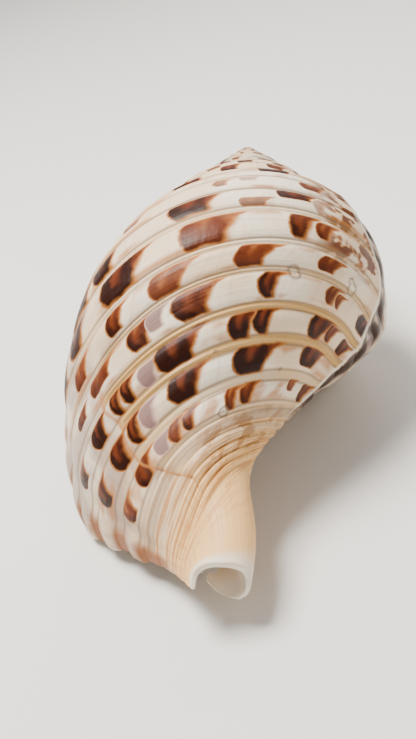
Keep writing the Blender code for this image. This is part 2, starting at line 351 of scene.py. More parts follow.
def crest_height(turn, along):
    """Relief of the old lips' edges: a thin crest with a hollow behind it."""
    gap = crest_gap(turn, along)
    crest = CREST_HEIGHT * bell(gap, CREST_TOP, np.where(gap > CREST_TOP, CREST_BACK, CREST_FRONT))
    behind = CREST_HOLLOW * bell(gap, *CREST_HOLLOW_TURN)
    return (crest - behind) * ramp(along, *CREST_START) * (1 - ramp(along, *CREST_END))


def scar_gap(turn, along):
    """Turns from a healed break in the shell."""
    bend = SCAR_BEND * ramp(along, *SCAR_BEND_START)
    return turn - SCAR_TURN - bend - SCAR_WAVE * np.sin(SCAR_WAVES * along)


def scar_height(turn, along):
    """The shell behind the break stands a little proud of what grew later."""
    gap = scar_gap(turn, along)
    reach = ramp(along, *SCAR_START) * (1 - ramp(along, *SCAR_END))
    return SCAR_HEIGHT * reach * smooth(gap / SCAR_STEP) * np.exp(-np.maximum(gap, 0) / SCAR_FADE)


def suture_fade(turn, along):
    """1 on the whorl and 0 at the sutures, where two whorls share their points."""
    from_start = smooth(along / SUTURE_FADE)
    buried = smooth((turn - BURIED_TURN) / (1 - BURIED_TURN))
    from_cover = smooth(np.abs(along - COVER) / SUTURE_FADE)
    return from_start * (1 - buried * (1 - from_cover))


def outside(turn, along):
    """Points of the shell's outer surface, without its cords."""
    size = GROWTH_PER_TURN ** (-turn)
    radius = RADIUS(along) * size ** RADIUS_SHARE(along)
    distance = DISTANCE(along) * size ** DISTANCE_SHARE(along)
    ridge = np.sin(math.pi * np.clip(along / RIDGE_END, 0, 1)) ** RIDGE_FULLNESS
    base = np.sin(math.pi * np.clip((along - BASE_START) / (TIP - BASE_START), 0, 1))
    flare = np.exp(-(np.maximum(turn, 0) / FLARE_REACH) ** FLARE_POWER)
    radius = radius + (LIP_FLARE * ridge + BASE_FLARE * base) * flare
    radius = radius + VARIX_HEIGHT * size * varix_share(turn) * ridge * suture_fade(turn, along)
    azimuth = LIP_AZIMUTH + np.radians(LEAN(along)) + 2 * math.pi * turn
    neck = smooth((distance - NECK_START) / (1 - NECK_START))
    offset = NECK_OFFSET(np.clip(distance, NECK_LINE[0, 0], 1.0))
    sideways = np.where(distance > NECK_LINE[1, 0], offset, 0.0)
    across = radius * np.sin(azimuth) * (1 - NECK_SQUASH * neck)
    spike_base = bell(turn, 0.0, SPIKE_REACH) * ramp(along, SPIKE_START, SPIKE_RISE)
    spike_base = spike_base * ramp(along, TIP, -SPIKE_RISE)
    distance = distance + NECK_TILT * neck * across + SPIKE_BASE * spike_base
    rim_reach = np.clip((distance - RIM_START) / (1.0 - RIM_START), 0.0, RIM_MOST) ** RIM_POWER
    rim = np.interp(turn, RIM[:, 0], RIM[:, 1]) - 1.0 - TIP_ROLL - NECK_TILT * across
    distance = distance + rim_reach * np.where(turn <= 1.0, rim, 0.0)
    return np.stack([radius * np.cos(azimuth) + sideways, across + NECK_DROP * neck, -distance], -1)


def surface_axes(turn, along):
    """Outward normal and the direction of growth towards the lip."""
    lower, upper = np.minimum(along + NORMAL_STEP, TIP), np.maximum(along - NORMAL_STEP, 0.0)
    across = outside(turn, lower) - outside(turn, upper)
    onward = outside(turn + NORMAL_STEP, along) - outside(turn - NORMAL_STEP, along)
    normal = np.cross(across, onward)
    normal /= np.linalg.norm(normal, axis=-1, keepdims=True)
    return normal, -onward / np.linalg.norm(onward, axis=-1, keepdims=True)


def raised(turn, along, height):
    """Points of the outer surface moved out along its normal by a height."""
    turn, along = np.broadcast_arrays(np.asarray(turn, float), np.asarray(along, float))
    normal, _ = surface_axes(turn, along)
    return outside(turn, along) + normal * np.broadcast_to(height, along.shape)[..., None]


def skin(turn, along):
    """The outer surface with its cords, threads, scar and scalloped lip."""
    turn, along = np.broadcast_arrays(turn, along)
    size = GROWTH_PER_TURN ** (-turn)
    fade = suture_fade(turn, along)
    cords = cord_height(along)
    edge = np.clip(1 - turn / SCALLOP_REACH, 0, 1) * fade * smooth(TIP - along)
    wavy_turn = turn - SCALLOP * edge * (cords / CORD_HEIGHT - 0.5)
    wavy_turn = wavy_turn + edge * LIP_ROLL / (2 * math.pi * RADIUS(along))
    worn = ramp(turn, *WORN_BACK) * ramp(turn, *WORN_FRONT) * ramp(along, *WORN_START)
    riblets = RIBLET_LEAST + RIBLET_GAIN * ramp(turn, *RIBLET_RISE)
    cords = cords * (1 - WORN_SHARE * worn) * np.where(along > RIBLET_START, riblets, 1.0)
    valley = VALLEY_DEPTH * bell(turn, *VALLEY_TURN)
    valley = valley * ramp(along, *VALLEY_START) * ramp(along, *VALLEY_END)
    fine = crest_height(turn, along) * size + scar_height(turn, along) - valley
    return raised(wavy_turn, along, (cords * size + fine) * fade)


def outline_rows():
    """Places along the outline: fine in the grooves and wider on the cords."""
    rows = list(SUTURE_ROWS)
    for place in GROOVES[1:, 0]:
        reach = GROOVE_ROWS if place < RIBLET_START - RIBLET_MARGIN else GROOVE_ROWS[2:7]
        rows += list(place + reach)
    for start, end in zip(GROOVES[4:12, 0], GROOVES[5:13, 0]):
        rows += list(np.linspace(start + GROOVE_ROWS[-1], end + GROOVE_ROWS[0], 5)[1:-1])
    rows += list(NECK_ROWS)
    rows = np.sort(np.array(rows))
    rows = rows[np.append(True, np.diff(rows) > LEAST_ROW)]
    rows[np.argmin(np.abs(rows - COVER))] = COVER
    return rows


def growth_sheet(mesh, growth, points, turns, places):
    """A grid of quads laid on a block of points, with its turn and place kept as its UV map."""
    columns, rows = points.shape[:2]
    made = bmesh.ops.create_grid(mesh, x_segments=rows - 1, y_segments=columns - 1, size=0.5)
    at = {}
    for vert in made["verts"]:
        row = round((vert.co.x + 0.5) * (rows - 1))
        column = round((vert.co.y + 0.5) * (columns - 1))
        at[vert] = (turns[column], places[row] / TIP)
        vert.co = Vector(points[column, row]) * SHELL_LENGTH
    for face in {face for vert in made["verts"] for face in vert.link_faces}:
        for loop in face.loops:
            loop[growth].uv = at[loop.vert]
    verts = sorted(made["verts"], key=lambda vert: (at[vert][0], at[vert][1]))
    return [verts[i * rows:(i + 1) * rows] for i in range(columns)]


def chain_places(chain):
    """Places from 0 to 1 along a chain of vertices, half by its length and half by its level."""
    points = np.array([vert.co[:] for vert in chain])
    length = np.append(0, np.cumsum(np.linalg.norm(np.diff(points, axis=0), axis=1)))
    level = points[0, 2] - points[:, 2]
    return (length / length[-1] + level / level[-1]) / 2


def zip_edges(mesh, left, right):
    """Triangles between two chains of vertices that share both ends."""
    left_places, right_places = chain_places(left), chain_places(right)
    i = j = 0
    while i < len(left) - 1 or j < len(right) - 1:
        if j == len(right) - 1 or (i < len(left) - 1 and left_places[i + 1] <= right_places[j + 1]):
            mesh.faces.new((left[i], left[i + 1], right[j]))
            i += 1
        else:
            mesh.faces.new((left[i], right[j + 1], right[j]))
            j += 1


def add_object(name, data):
    made = bpy.data.objects.new(name, data)
    bpy.context.scene.collection.objects.link(made)
    return made


def read_values(items, name, kind=np.int32, width=1):
    values = np.zeros(len(items) * width, kind)
    items.foreach_get(name, values)
    return values


def read_points(data):
    return read_values(data.vertices, "co", np.float32, 3).reshape(-1, 3).astype(float)


def add_cap(mesh, ring, middle=None):
    """A fan of triangles that closes a ring of vertices."""
    if middle is None:
        middle = sum((vert.co for vert in ring), Vector()) / len(ring)
    centre = mesh.verts.new(middle)
    for a, b in zip(ring, ring[1:] + ring[:1]):
        mesh.faces.new((a, b, centre))


def close_mesh(mesh, name):
    """Weld the shared edges, point the faces outwards and hand over a mesh."""
    bmesh.ops.remove_doubles(mesh, verts=mesh.verts[:], dist=WELD)
    bmesh.ops.dissolve_degenerate(mesh, edges=mesh.edges[:], dist=WELD)
    bmesh.ops.recalc_face_normals(mesh, faces=mesh.faces[:])
    data = bpy.data.meshes.new(name)
    mesh.to_mesh(data)
    mesh.free()
    return data


def rolled(points, turns, lip_rolls, places, tip_rolls):
    """Turn the lip's edge and the canal's edge inwards, by the angles of their columns and rows."""
    normal, ahead = surface_axes(np.zeros(len(places)), np.minimum(places, TIP))
    keep = (smooth(places / SUTURE_FADE) * smooth(TIP - places))[:, None]
    for column, roll in enumerate(lip_rolls):
        points[column] += LIP_ROLL * keep * (ahead * math.sin(roll) - normal * (1 - math.cos(roll)))
    centre = np.array([NECK_OFFSET(1.0), NECK_DROP, 0.0])
    for row, roll in enumerate(tip_rolls):
        inwards = centre - points[:, row]
        inwards[:, 2] = 0.0
        inwards /= np.linalg.norm(inwards, axis=-1, keepdims=True)
        points[:, row] += TIP_ROLL * (inwards * (1 - math.cos(roll)) - np.array([0, 0, math.sin(roll)]))
    return points


def whole_shell():
    """The shell's outer form as a closed solid, with the aperture still filled."""
    places = outline_rows()
    cover = int(np.argmin(np.abs(places - COVER)))
    last_turn = np.linspace(0, 1, COLUMNS_PER_TURN + 1)
    spire_turns = 1 + np.arange(round((TURNS - 1) * COLUMNS_PER_TURN) + 1) / COLUMNS_PER_TURN
    lip_rolls = np.append(EDGE_ROLL, np.zeros(len(last_turn)))
    tip_rolls = np.append(np.zeros(len(places)), EDGE_ROLL[::-1])
    body_turns = np.append(np.zeros(len(EDGE_ROLL)), last_turn)
    body_places = np.append(places, np.full(len(EDGE_ROLL), TIP))
    points = skin(body_turns[:, None], body_places[None, :])
    points = rolled(points, body_turns, lip_rolls, body_places, tip_rolls)
    body_turns = np.append(-EDGE_ROLL_TURN * np.array([3, 2, 1]), last_turn)
    body_places = np.append(places, TIP + EDGE_ROLL_PLACE * np.array([1, 2, 3]))
    mesh = bmesh.new()
    growth = mesh.loops.layers.uv.new("growth")
    body = growth_sheet(mesh, growth, points, body_turns, body_places)
    spire_points = skin(spire_turns[:, None], places[None, :cover + 1])
    spire = growth_sheet(mesh, growth, spire_points, spire_turns, places)
    zip_edges(mesh, body[0][:len(places)], body[-1][cover:len(places)])
    add_cap(mesh, [column[-1] for column in body[len(EDGE_ROLL):-1]])
    apex_ring = [column[0] for column in spire[-COLUMNS_PER_TURN - 1:]] + spire[-1][1:-1]
    add_cap(mesh, apex_ring, Vector((0, 0, -APEX_TIP * SHELL_LENGTH)))
    return close_mesh(mesh, "whole_shell")


def add_tube(rings, name, stations):
    """A closed tube through rings of points, with its stations kept as its UV map."""
    rings = np.asarray(rings)
    mesh = bmesh.new()
    growth = mesh.loops.layers.uv.new("growth")
    ring_places = -TIP * np.linspace(0, 1, rings.shape[1] + 1)
    closed = np.concatenate([rings, rings[:, :1]], 1)
    loops = growth_sheet(mesh, growth, closed, np.asarray(stations), ring_places[::-1])
    for end in (loops[0], loops[-1]):
        add_cap(mesh, end[:-1])
    return close_mesh(mesh, name)


def whorl_hollow():
    """The space inside the last whorl, from in front of the lip back past one turn."""
    outer_places = np.linspace(HOLLOW_OUTER[0], HOLLOW_OUTER[1], OUTER_ROWS)
    inner_places = np.linspace(HOLLOW_INNER[0], HOLLOW_INNER[1], THROAT_ROWS - OUTER_ROWS)
    rings = []
    for turn in HOLLOW_TURNS:
        size = GROWTH_PER_TURN ** (-turn)
        callus = CALLUS + (CALLUS_EDGE - CALLUS) * smooth(1 - turn / CALLUS_REACH)
        wall = WALL * (1 - LIP_THINNING * smooth(1 - turn / LIP_THINNING_REACH))
        gap, _, _ = nearest_groove(outer_places)
        teeth = TOOTH_SHARE * WALL * bell(turn, *TOOTH_TURN) * bell(gap, *TOOTH_GAP)
        outer = raised(turn, outer_places, -(wall + teeth) * size)
        waves = np.sin(2 * math.pi * inner_places * CALLUS_FOLDS)
        folds = CALLUS_FOLD * waves * smooth(1 - turn / CALLUS_FOLD_REACH)
        inner = raised(turn + 1, inner_places, callus + folds)
        rings.append(np.concatenate([outer, inner]))
    return add_tube(rings, "whorl_hollow", HOLLOW_TURNS)


def canal_bore():
    """The round bore of the siphonal canal, from past the tip into the last whorl."""
    angles = 2 * math.pi * np.arange(BORE_SIDES) / BORE_SIDES
    rings = []
    for distance in BORE_DISTANCES:
        sideways, up, radius = [np.interp(-distance, -CANAL[:, 0], CANAL[:, k]) for k in (1, 2, 3)]
        radius += BORE_FLARE * ramp(distance, *BORE_FLARE_START)
        rings.append(np.stack([sideways + radius * np.cos(angles),
                               up + radius * (1 - NECK_SQUASH) * np.sin(angles),
                               np.full(len(angles), -distance)], -1))
    return add_tube(rings, "canal_bore", BORE_STATION + STATION_STEP * np.arange(len(rings)))


def canal_slit():
    """The open slit along the canal, between the lip's end and the columella's edge."""
    radii = np.linspace(0, SLIT_REACH, SLIT_RADII)
    rings = []
    for distance in np.linspace(SLIT[0, 0], SLIT[-1, 0], SLIT_STEPS):
        sideways, up = [np.interp(-distance, -CANAL[:, 0], CANAL[:, k]) for k in (1, 2)]
        first, last = [math.radians(np.interp(-distance, -SLIT[:, 0], SLIT[:, k])) for k in (1, 2)]
        fan = [(radius, first) for radius in radii[:-1]]
        fan += [(SLIT_REACH, angle) for angle in np.linspace(first, last, SLIT_ARC)]
        fan += [(radius, last) for radius in radii[-2:0:-1]]
        rings.append([(sideways + radius * math.cos(angle), up + radius * math.sin(angle), -distance)
                      for radius, angle in fan])
    return add_tube(rings, "canal_slit", SLIT_STATION + STATION_STEP * np.arange(SLIT_STEPS))


def carve(shell, hollows, throat):
    """Open the shell with the hollows and keep the result as its mesh."""
    cutters = []
    for data in hollows:
        data.materials.append(throat)
        cutter = add_object(data.name, data)
        cut = shell.modifiers.new(data.name, "BOOLEAN")
        cut.operation = "DIFFERENCE"
        cut.material_mode = "TRANSFER"
        cut.object = cutter
        cutters.append(cutter)
    evaluated = shell.evaluated_get(bpy.context.evaluated_depsgraph_get())
    carved = bpy.data.meshes.new_from_object(evaluated)
    shell.modifiers.clear()
    shell.data = carved
    for cutter in cutters:
        bpy.data.objects.remove(cutter)
    return carved


def lying_turn():
    """The turn that lays the shell on its aperture."""
    roll = Matrix.Rotation(math.radians(REST_ROLL), 4, "Z")
    pitch = Matrix.Rotation(math.radians(REST_PITCH), 4, "X")
    return pitch @ LYING.to_4x4() @ roll


def keep_inside(data):
    """Bring the outermost points just inside the solid's box, where the fine relief passes it."""
    points = read_points(data)
    for axis in range(3):
        low, high = points[:, axis].min(), points[:, axis].max()
        low_inside = max(low, CAD_BOX[0][axis] + BOX_MARGIN) if axis < 2 else low
        high_inside = min(high, CAD_BOX[1][axis] - BOX_MARGIN)
        share = (points[:, axis] - low) / (high - low)
        points[:, axis] = low_inside + share * (high_inside - low_inside)
    data.vertices.foreach_set("co", points.ravel())


def place_on_frame(data):
    """Lay the fine shell where its solid lies, by the apex, and return its place."""
    turn = lying_turn()
    points = read_points(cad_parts["triton_shell"].data)
    apex = Vector(points[np.argmax(points[:, 1])])
    place = Matrix.Translation(apex - turn @ Vector((0, 0, -APEX_TIP * SHELL_LENGTH))) @ turn
    data.transform(place)
    keep_inside(data)
    return place


def wear_flat(data):
    """Grind the places that touch the surface to small flats at height 0."""
    mesh = bmesh.new()
    mesh.from_mesh(data)
    everything = mesh.verts[:] + mesh.edges[:] + mesh.faces[:]
    cut = bmesh.ops.bisect_plane(mesh, geom=everything, dist=CUT_REACH, plane_co=(0, 0, 0),
                                 plane_no=(0, 0, 1), clear_inner=True)
    rim = [edge for edge in cut["geom_cut"] if isinstance(edge, bmesh.types.BMEdge)]
    filled = bmesh.ops.holes_fill(mesh, edges=rim, sides=0)
    bmesh.ops.triangulate(mesh, faces=filled["faces"])
    bmesh.ops.recalc_face_normals(mesh, faces=mesh.faces[:])
    mesh.to_mesh(data)
    mesh.free()


# Markings. Each row of patches keeps to one cord, from its upper to its lower edge, and a patch
# has its leading and trailing turn, its edges and its darkness; below 0 it is a mauve stain.
PATCHES = [
    (0.155, 0.185, 1.25, 1.7, 0.7), (0.228, 0.262, 1.25, 1.7, 0.7), (0.325, 0.362, 1.25, 1.7, 0.8),
    (0.06, 0.09, 1.2, 1.7, 0.8), (0.118, 0.14, 2.35, 3.1, 0.8), (0.28, 0.293, 2.45, 2.95, 0.4),
    (0.305, 0.322, 2.35, 2.75, 0.3), (0.368, 0.392, 2.4, 2.95, 0.5), (0.18, 0.2, 2.4, 2.9, 0.4),
    (0.09, 0.132, 3.36, 4.24, 1.0), (0.142, 0.173, 3.34, 4.25, 1.0), (0.237, 0.278, 3.36, 4.22, 0.9),
    (0.342, 0.378, 3.36, 3.95, 0.8), (0.38, 0.393, 3.6, 4.25, 0.3), (0.305, 0.33, 3.95, 4.25, 0.4),
    (0.052, 0.082, 4.4, 5.14, 1.0), (0.092, 0.12, 4.4, 5.12, 1.0), (0.154, 0.2, 4.38, 5.16, 1.0),
    (0.244, 0.292, 4.38, 5.15, 0.62), (0.35, 0.374, 4.4, 5.12, 0.75), (0.38, 0.399, 4.5, 5.0, 0.6),
    (0.165, 0.186, 5.28, 5.85, 0.8), (0.221, 0.258, 5.26, 5.92, 0.45), (0.312, 0.346, 5.28, 5.92, 0.6),
    (0.406, 0.432, 5.35, 5.85, 0.55), (0.1, 0.122, 5.3, 5.8, 0.6), (0.131, 0.166, 6.06, 6.6, 0.6),
    (0.196, 0.224, 6.05, 6.75, 0.8), (0.222, 0.243, 6.05, 6.6, -0.6), (0.254, 0.296, 6.05, 6.8, 0.8),
    (0.352, 0.376, 6.05, 6.8, 0.85), (0.444, 0.462, 6.1, 6.7, 0.6), (0.463, 0.475, 6.25, 6.7, 0.5),
    (0.096, 0.116, 6.2, 6.62, 0.7), (0.054, 0.076, 6.96, 7.28, 0.9), (0.104, 0.131, 6.95, 7.36, 1.0),
    (0.152, 0.17, 6.95, 7.38, 0.95), (0.171, 0.189, 6.95, 7.38, 0.9), (0.199, 0.224, 7.0, 7.38, -0.7),
    (0.225, 0.276, 6.92, 7.4, 1.0), (0.319, 0.35, 6.96, 7.4, 0.95), (0.352, 0.376, 6.94, 7.38, 0.95),
    (0.436, 0.474, 6.94, 7.38, 0.85), (0.476, 0.497, 6.98, 7.34, 0.7), (0.052, 0.078, 7.5, 7.82, 0.9),
    (0.105, 0.139, 7.48, 7.9, 0.95), (0.153, 0.176, 7.48, 7.9, 0.9), (0.178, 0.204, 7.5, 7.88, -1.0),
    (0.231, 0.278, 7.47, 7.9, 1.0), (0.333, 0.388, 7.47, 7.9, 1.0), (0.45, 0.496, 7.47, 7.8, 0.85),
    (0.058, 0.086, 8.02, 8.3, 0.6), (0.119, 0.163, 8.0, 8.36, 0.8), (0.182, 0.216, 8.02, 8.34, -0.7),
    (0.217, 0.244, 8.0, 8.38, 0.62), (0.247, 0.274, 7.99, 8.36, 0.7), (0.335, 0.36, 8.0, 8.38, 0.62),
    (0.364, 0.392, 7.99, 8.36, 0.7), (0.469, 0.49, 8.0, 8.2, 0.45)]
CORD_ROWS = [(0.10, 0.56), (0.68, 1.10), (1.20, 1.68), (1.76, 2.20), (2.32, 3.22), (3.36, 4.24),
             (4.38, 5.14), (5.26, 5.93), (6.06, 6.80), (6.96, 7.38), (7.48, 7.90), (7.99, 8.37)]
ROW_MARGIN = 0.05
# Small ring-shaped scars: turn, place along the outline and radius in metres
RINGS = [(0.392, 6.05, 0.0024), (0.477, 5.90, 0.0022), (0.306, 7.43, 0.0011), (0.342, 8.35, 0.0020),
         (0.406, 7.40, 0.0009), (0.431, 7.88, 0.0011), (0.463, 5.70, 0.0013)]
# Patches further back than those: lengths and gaps in turns, and insets as shares of the cord
FIRST_SEEDED_TURN = 0.52
PATCH_SEED = 11
PATCH_CHANCE = 0.75
PATCH_LENGTHS = (0.014, 0.040)
PATCH_GAPS = (0.012, 0.060)
PATCH_INSETS = (0.0, 0.3)
PATCH_TOP_INSET = 0.6
PATCH_SHADES = (0.45, 1.0)
STAIN_CHANCE = 0.12
STAIN_SHADE = -0.7
# Form of every patch, in half heights of the patch
PATCH_SLANT = 0.60
PATCH_STRETCH = 1.32
PATCH_BOW = 0.90
PATCH_TAIL = 0.7
# Layers that share out the patches, values where there is no marking, and measuring steps
PATCH_LAYERS = 4
NO_PATCH = [0.0, 9.0, 1.0, 0.0]
NO_RING = 9.0
PROBE_TURN = 0.01
PROBE_PLACE = 0.05


def patches():
    """All the patches: the listed ones and, away from them, some at seeded places."""
    chance = np.random.default_rng(PATCH_SEED)
    rows = [[patch for patch in PATCHES if low - ROW_MARGIN < (patch[2] + patch[3]) / 2 < high + ROW_MARGIN]
            for low, high in CORD_ROWS]
    for row, (low, high) in zip(rows, CORD_ROWS):
        turn = FIRST_SEEDED_TURN
        while turn < (TURNS if high < COVER else 1.0):
            length = chance.uniform(*PATCH_LENGTHS)
            if chance.random() < PATCH_CHANCE:
                top, bottom = sorted(chance.uniform(*PATCH_INSETS, 2))
                upper = low + (high - low) * top * PATCH_TOP_INSET
                lower = high - (high - low) * (bottom - top)
                shade = STAIN_SHADE if chance.random() < STAIN_CHANCE else chance.uniform(*PATCH_SHADES)
                row.append((turn, turn + length, upper, lower, shade))
            turn += length + chance.uniform(*PATCH_GAPS)
    return rows


def kept_attribute(data, name, values):
    layer = data.color_attributes.new(name, "FLOAT_COLOR", "CORNER")
    layer.data.foreach_set("color", np.asarray(values, np.float32).ravel())


def mark_rings(data, place):
    """Keep, at each corner, its distance from the nearest ring scar, in radii of the ring."""
    points = read_points(data)
    nearest = np.full(len(points), NO_RING)
    for turn, along, radius in RINGS:
        centre = raised(turn, along, CORD_HEIGHT * GROWTH_PER_TURN ** -turn) * SHELL_LENGTH
        centre = np.array(place @ Vector(centre))
        nearest = np.minimum(nearest, np.linalg.norm(points - centre, axis=1) / radius)
    near = nearest[read_values(data.loops, "vertex_index")]
    kept_attribute(data, "rings", np.stack([near, near, near, np.ones(len(near))], -1))


def mark_surface(data):
    """Keep, at each corner of each face, its place within a patch and its distance from the lines."""
    growth = read_values(data.uv_layers["growth"].uv, "vector", np.float32, 2)
    turn, along = growth.reshape(-1, 2).astype(float).T
    along = along * TIP
    start = read_values(data.polygons, "loop_start")
    outer = read_values(data.polygons, "material_index") == 0
    face = np.repeat(np.arange(len(start)), np.diff(np.append(start, len(turn))))
    low_turn, high_turn = np.minimum.reduceat(turn, start), np.maximum.reduceat(turn, start)
    low_along, high_along = np.minimum.reduceat(along, start), np.maximum.reduceat(along, start)
    layers = np.tile(NO_PATCH, (PATCH_LAYERS, len(turn), 1))
    for number, row in enumerate(patches()):
        for order, (lead, trail, top, bottom, shade) in enumerate(sorted(row)):
            trail = lead + PATCH_STRETCH * (trail - lead)
            middle = (top + bottom) / 2
            here = outside(np.array([lead, lead + PROBE_TURN, lead]),
                           np.array([middle, middle, middle + PROBE_PLACE]))
            onward, across = here[1] - here[0], here[2] - here[0]
            per_turn = np.linalg.norm(onward) / PROBE_TURN
            per_along = np.linalg.norm(across) / PROBE_PLACE
            slant = onward @ across / (np.linalg.norm(onward) * np.linalg.norm(across))
            half = (bottom - top) / 2 * per_along * math.sqrt(1 - slant ** 2)
            shift = PATCH_SLANT * slant * per_along
            spare = abs(shift) * (bottom - top) / 2 / per_turn
            tail = PATCH_TAIL * half / per_turn
            mine = (outer & (high_turn > lead - spare) & (low_turn < trail + spare + tail)
                    & (high_along > top) & (low_along < bottom))[face]
            layer = layers[number % 2 * 2 + order % 2]
            sheared = (turn[mine] - lead) * per_turn + (along[mine] - middle) * shift
            layer[mine] = np.stack([sheared / half, (along[mine] - middle) * 2 / (bottom - top),
                                    np.full(mine.sum(), (trail - lead) * per_turn / half),
                                    np.full(mine.sum(), shade)], -1)
    for number, layer in enumerate(layers):
        kept_attribute(data, f"patch_{number}", layer)
    throat_row = (along / TIP + 1) * THROAT_ROWS
    throat_along = HOLLOW_OUTER[0] + throat_row / (OUTER_ROWS - 1) * (HOLLOW_OUTER[1] - HOLLOW_OUTER[0])
    places = np.clip(np.where(outer[face], along, throat_along), 0, TIP)
    gap, _, yellow = nearest_groove(places)
    lines = np.stack([scar_gap(turn, places), crest_gap(turn, places), gap, yellow], -1)
    kept_attribute(data, "lines", lines)


class Nodes:
    """Short ways to add the nodes of a material."""

    def __init__(self, name):
        self.material = bpy.data.materials.new(name)
        self.material.use_nodes = True
        self.tree = self.material.node_tree
        self.surface = self.tree.nodes["Principled BSDF"]

    def put(self, socket, value):
        if isinstance(value, bpy.types.NodeSocket):
            self.tree.links.new(value, socket)
        else:
            socket.default_value = value

    def math(self, operation, first, second=0.0):
        node = self.tree.nodes.new("ShaderNodeMath")
        node.operation = operation
        for socket, value in zip(node.inputs, (first, second)):
            self.put(socket, value)
        return node.outputs[0]

    def plus(self, first, second):
        return self.math("ADD", first, second)

    def minus(self, first, second):
        return self.math("SUBTRACT", first, second)

    def times(self, *values):
        result = values[0]
        for value in values[1:]:
            result = self.math("MULTIPLY", result, value)
        return result

    def step(self, low, high, value):
        """A soft step from 0 at low to 1 at high; either may be the greater."""
        node = self.tree.nodes.new("ShaderNodeMapRange")
        node.interpolation_type = "SMOOTHSTEP"
        turned = low > high
        for name, number in (("Value", value), ("From Min", min(low, high)), ("From Max", max(low, high)),
                             ("To Min", 1.0 * turned), ("To Max", 1.0 - turned)):
            self.put(node.inputs[name], number)
        return node.outputs["Result"]

    def between(self, value, start, full, fading, end):
        """0 at the start and the end, and 1 from full to fading."""
        return self.times(self.step(start, full, value), self.step(end, fading, value))

    def hump(self, value, middle, width):
        """1 where a value is at the middle, and 0 a width away."""
        return self.step(width, 0.0, self.math("ABSOLUTE", self.minus(value, middle)))

    def mix(self, factor, first, second):
        node = self.tree.nodes.new("ShaderNodeMix")
        node.data_type = "RGBA"
        for socket, value in ((node.inputs[0], factor), (node.inputs[6], first), (node.inputs[7], second)):
            self.put(socket, value)
        return node.outputs[2]

    def lay(self, colour, layers):
        """Colours laid over each other, each with its strength and the masks that keep its place."""
        for paint, strength, *masks in layers:
            colour = self.mix(self.times(strength, *masks), colour, paint)
        return colour

    def split(self, vector):
        node = self.tree.nodes.new("ShaderNodeSeparateXYZ")
        self.put(node.inputs[0], vector)
        return node.outputs

    def attribute(self, name):
        node = self.tree.nodes.new("ShaderNodeAttribute")
        node.attribute_name = name
        return node.outputs

    def noise(self, vector, scale, detail):
        node = self.tree.nodes.new("ShaderNodeTexNoise")
        self.put(node.inputs["Vector"], vector)
        node.inputs["Scale"].default_value = scale
        node.inputs["Detail"].default_value = detail
        return node.outputs[0]

    def growth_noise(self, turn, along, per_turn, per_place, detail):
        """Noise drawn out along the cords or along the growth lines."""
        node = self.tree.nodes.new("ShaderNodeCombineXYZ")
        self.put(node.inputs[0], self.times(turn, per_turn))
        self.put(node.inputs[1], self.times(along, per_place))
        return self.noise(node.outputs[0], 1.0, detail)

    def object_place(self):
        return self.tree.nodes.new("ShaderNodeTexCoord").outputs["Object"]

    def growth_place(self):
        node = self.tree.nodes.new("ShaderNodeUVMap")
        node.uv_map = "growth"
        turn, along, _ = self.split(node.outputs[0])
        return turn, self.times(along, TIP)

    def bump(self, height, distance):
        node = self.tree.nodes.new("ShaderNodeBump")
        self.put(node.inputs["Height"], height)
        node.inputs["Distance"].default_value = distance
        self.put(self.surface.inputs["Normal"], node.outputs[0])

    def finish(self, values):
        """Set the surface's own values and hand over the material."""
        for name, value in values.items():
            self.put(self.surface.inputs[name], value)
        return self.material


CREAM = (0.80, 0.61, 0.41, 1.0)
WHITE = (0.88, 0.78, 0.63, 1.0)
MAUVE = (0.25, 0.15, 0.135, 1.0)
PINK = (0.62, 0.42, 0.33, 1.0)
DARK_BROWN = (0.020, 0.0035, 0.001, 1.0)
BROWN = (0.12, 0.024, 0.006, 1.0)
LIGHT_BROWN = (0.30, 0.090, 0.020, 1.0)
ORANGE = (0.48, 0.18, 0.040, 1.0)
OCHRE = (0.56, 0.32, 0.085, 1.0)
PEACH = (0.90, 0.53, 0.20, 1.0)
GREY = (0.22, 0.15, 0.10, 1.0)
DARK_GREY = (0.035, 0.020, 0.016, 1.0)
THROAT_TAN = (0.74, 0.60, 0.44, 1.0)
THROAT_CREAM = (0.82, 0.73, 0.60, 1.0)

# Where the markings lie, in turns and in places along the outline: each is 0 at its first and
# last value and full between the other two
STAIN_AND_SHADE_PLACES = (2.4, 4.0, 8.2, 9.0)
FAN_PLACES = (8.2, 8.8, 9.6, 10.7)
NECK_PLACES = (8.8, 9.5, 10.5, 10.8)
SMUDGE_TURNS = (0.24, 0.34, 0.50, 0.60)
SMUDGE_PLACES = (8.35, 8.6, 9.2, 9.7)
MOTTLE_TURNS = (0.375, 0.41, 0.48, 0.50)
MOTTLE_PLACES = (1.0, 1.6, 5.0, 5.6)
SCAR_PLACES = (6.5, 6.9, 9.0, 9.5)
BLOTCH_PLACES = (4.5, 6.0, 8.9, 9.2)
CREST_PLACES = (1.0, 2.5, 8.2, 8.8)
CREST_GAPS = (0.004, 0.009, 0.040, 0.090)
# The same with one edge: 0 at the first value and full from the second on
STAIN_AND_SHADE_TURN = (0.22, 0.10)
PEACH_PLACE = (8.2, 9.7)
RIM_PLACE = (10.75, 10.98)
OLD_TURN = (1.0, 2.2)
SPIRE_TURN = (2.2, 4.2)
BEHIND_SCAR = (-0.006, 0.004)
ABOVE_SCAR = (6.4, 5.6)
WISP_PLACE = (9.0, 8.4)
GROOVE_SHADE_PLACE = (9.2, 8.4)
BLOTCH_TURN = (0.040, 0.020)
CREST_TURN = (0.2, 0.3)
# In the throat, where places are counted round its ring, from 0 down to -TIP
DEEP_TURNS = (0.1, 0.7, 1.5, 1.9)
TOOTH_MARK_TURN = (0.034, 0.016)
LIP_RING = (-3.3, -3.5)
COLUMELLA_TURN = (0.22, 0.05)
COLUMELLA_RING = (-3.2, -2.9)


